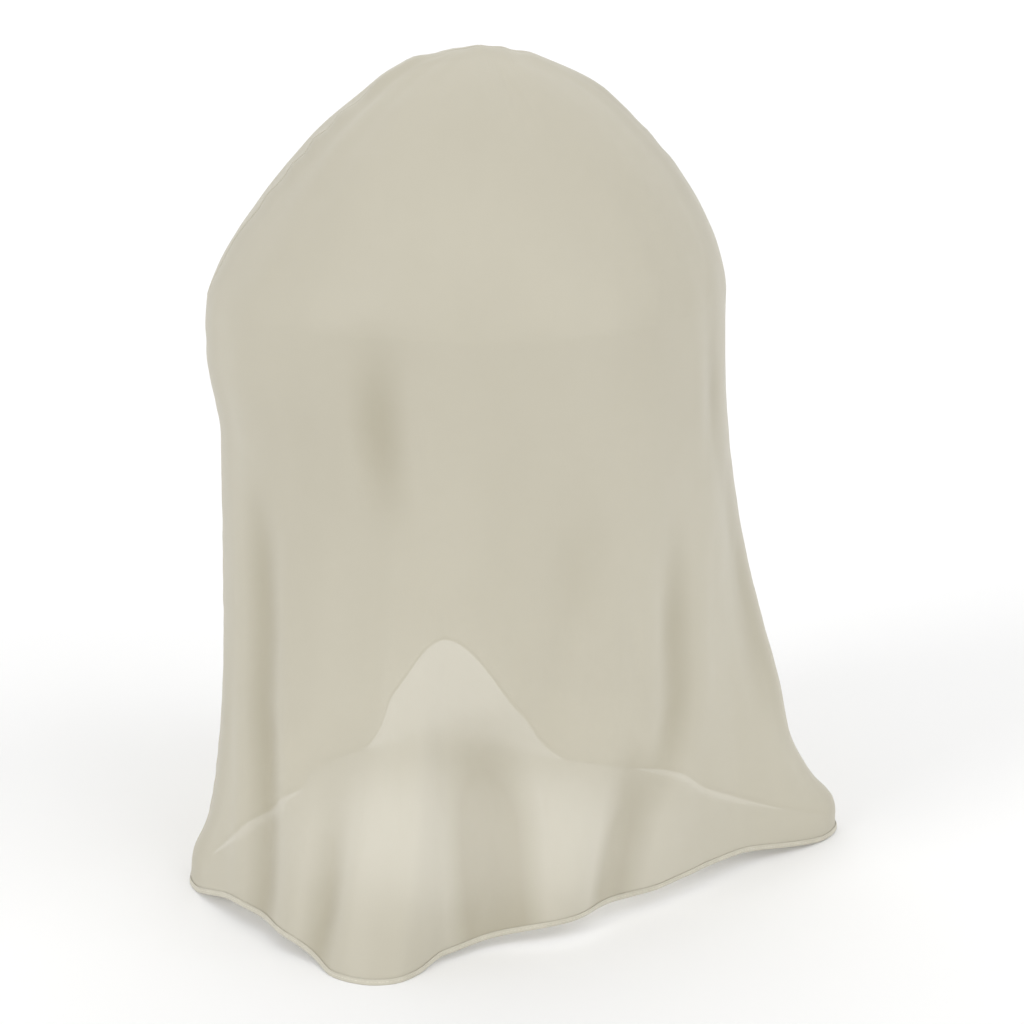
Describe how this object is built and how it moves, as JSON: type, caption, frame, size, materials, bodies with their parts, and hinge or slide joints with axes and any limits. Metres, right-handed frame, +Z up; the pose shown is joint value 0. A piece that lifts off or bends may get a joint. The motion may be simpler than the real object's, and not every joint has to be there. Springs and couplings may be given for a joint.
{
  "type": "grill cover",
  "caption": "Loose bell-shaped cover of translucent film, open at the bottom, that hangs over a free-standing kettle grill with its hem flared into corners.",
  "frame": {"origin": "middle of the bounding box, on the plane that the hem stands on", "axes": "+Z up, -Y towards the front panel, the side seams in the plane of X and Z"},
  "size_m": [0.7513, 0.7641, 0.918],
  "materials": {
    "film": "hazy beige film, soft satin",
    "binding": "the same beige film, folded",
    "thread": "spun polyester thread"
  },
  "bodies": {
    "root": {"front_panel": "film", "back_panel": "film", "seam_binding": "binding", "seam_needle_thread": "thread", "seam_bobbin_thread": "thread", "front_hem_binding": "binding", "back_hem_binding": "binding", "front_hem_needle_thread": "thread", "front_hem_bobbin_thread": "thread", "back_hem_needle_thread": "thread", "back_hem_bobbin_thread": "thread"}
  },
  "joints": []
}
